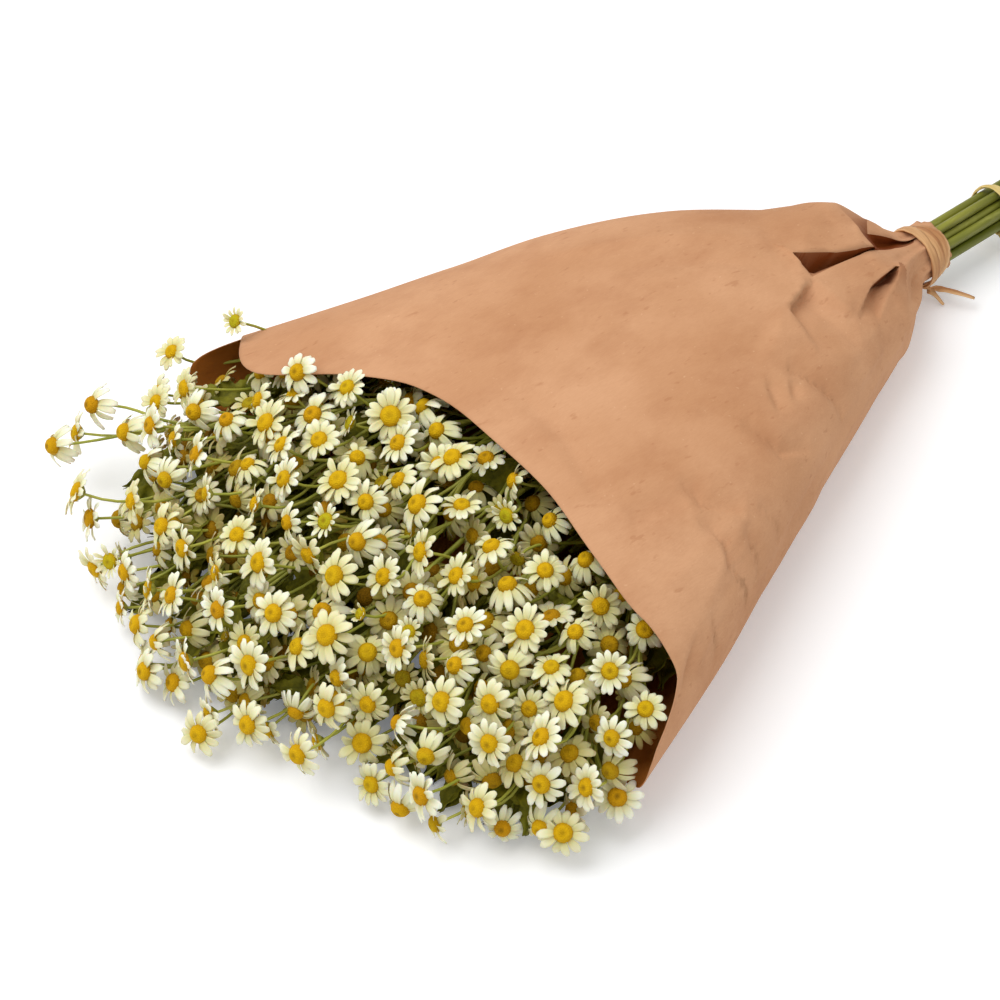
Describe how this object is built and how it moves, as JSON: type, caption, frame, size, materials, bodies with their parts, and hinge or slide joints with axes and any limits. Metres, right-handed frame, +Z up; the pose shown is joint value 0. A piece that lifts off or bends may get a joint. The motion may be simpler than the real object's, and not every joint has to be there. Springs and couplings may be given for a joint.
{
  "type": "flower bunch",
  "caption": "Bunch of feverfew daisies lying down, its stems rolled in a cone of kraft paper, gathered and tied with raffia.",
  "frame": {"origin": "on the surface that the bunch lies on, under the middle of the whole bunch", "axes": "+X along the bunch from the flowers to the cut stem ends, +Y across the mouth of the paper, +Z up"},
  "size_m": [0.5958, 0.343, 0.0927],
  "materials": {
    "kraft_paper": "matt brown kraft paper, fine mottled fibre",
    "raffia": "dry pale raffia strand",
    "stem_green": "smooth ribbed green stem",
    "leaf_green": "soft matt green leaf",
    "flower": "matt white rays round a yellow disc on a green cup"
  },
  "bodies": {
    "root": {"paper_wrap": "kraft_paper", "neck_tie": "raffia", "stem_tie": "raffia", "stem_01": "stem_green", "stem_02": "stem_green", "stem_03": "stem_green", "stem_04": "stem_green", "stem_05": "stem_green", "stem_06": "stem_green", "stem_07": "stem_green", "stem_08": "stem_green", "stem_09": "stem_green", "stem_10": "stem_green", "stem_11": "stem_green", "stem_12": "stem_green", "stem_13": "stem_green", "flower_head_01": "flower", "flower_head_02": "flower", "flower_head_03": "flower", "flower_head_04": "flower", "flower_head_05": "flower", "flower_head_06": "flower", "flower_head_07": "flower", "flower_head_08": "flower", "flower_head_09": "flower", "flower_head_10": "flower", "flower_head_11": "flower", "flower_head_12": "flower", "flower_head_13": "flower", "flower_head_14": "flower", "flower_head_15": "flower", "flower_head_16": "flower", "flower_head_17": "flower", "flower_head_18": "flower", "flower_head_19": "flower", "flower_head_20": "flower", "flower_head_21": "flower", "flower_head_22": "flower", "flower_head_23": "flower", "flower_head_24": "flower", "flower_head_25": "flower", "flower_head_26": "flower", "flower_head_27": "flower", "flower_head_28": "flower", "flower_head_29": "flower", "flower_head_30": "flower", "flower_head_31": "flower", "flower_head_32": "flower", "flower_head_33": "flower", "flower_head_34": "flower", "flower_head_35": "flower", "flower_head_36": "flower", "flower_head_37": "flower", "flower_head_38": "flower", "flower_head_39": "flower", "leaf_01": "leaf_green", "leaf_02": "leaf_green", "leaf_03": "leaf_green", "leaf_04": "leaf_green", "leaf_05": "leaf_green"}
  },
  "joints": []
}
